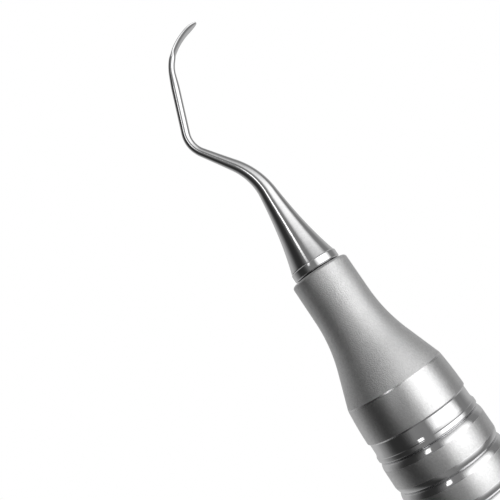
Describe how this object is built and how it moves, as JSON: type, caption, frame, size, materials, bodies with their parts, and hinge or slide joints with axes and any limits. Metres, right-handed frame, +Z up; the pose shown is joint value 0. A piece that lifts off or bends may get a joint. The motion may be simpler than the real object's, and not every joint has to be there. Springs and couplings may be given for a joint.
{
  "type": "dental elevator",
  "caption": "Double-ended dental hand instrument: hollow ring-grooved steel handle, flared satin necks and two screwed-in, double-bent tips with thin curved blades.",
  "frame": {"origin": "middle of the handle, on its axis, which is also the centre of the whole instrument", "axes": "+X along the handle from end a to end b, +Y in the plane of the tip bends, towards the toe of end a, +Z up, square to the bends"},
  "size_m": [0.1726, 0.01, 0.01],
  "materials": {
    "satin_steel": "bead-blasted satin stainless steel with polished grooves",
    "blasted_steel": "bead-blasted matt stainless steel with a polished colour ring seat",
    "polished_steel": "mirror-polished hardened stainless steel",
    "bush_steel": "turned stainless steel",
    "seal_rubber": "matt black sealing rubber"
  },
  "bodies": {
    "handle": {"barrel_tube": "satin_steel", "neck_a": "blasted_steel", "neck_b": "blasted_steel", "socket_bush_a": "bush_steel", "socket_bush_b": "bush_steel"},
    "washer_a": {"seal_washer_a": "seal_rubber"},
    "tip_a": {"working_tip_a": "polished_steel"},
    "washer_b": {"seal_washer_b": "seal_rubber"},
    "tip_b": {"working_tip_b": "polished_steel"}
  },
  "joints": [
    {"name": "tip_a_travel", "type": "slide", "parent": "handle", "child": "washer_a", "axis": [-1, 0, 0], "range_m": [0, 0.0045]},
    {"name": "tip_a_turn", "type": "hinge", "parent": "washer_a", "child": "tip_a", "pos_m": [-0.059, 0, 0], "axis": [-1, 0, 0], "range_deg": [0, 3601]},
    {"name": "tip_b_travel", "type": "slide", "parent": "handle", "child": "washer_b", "axis": [1, 0, 0], "range_m": [0, 0.0045]},
    {"name": "tip_b_turn", "type": "hinge", "parent": "washer_b", "child": "tip_b", "pos_m": [0.059, 0, 0], "axis": [1, 0, 0], "range_deg": [0, 3601]}
  ],
  "couplings": [
    {"joint": "tip_a_turn", "follows": "tip_a_travel", "rad_per_m": 13963},
    {"joint": "tip_b_turn", "follows": "tip_b_travel", "rad_per_m": 13963}
  ]
}
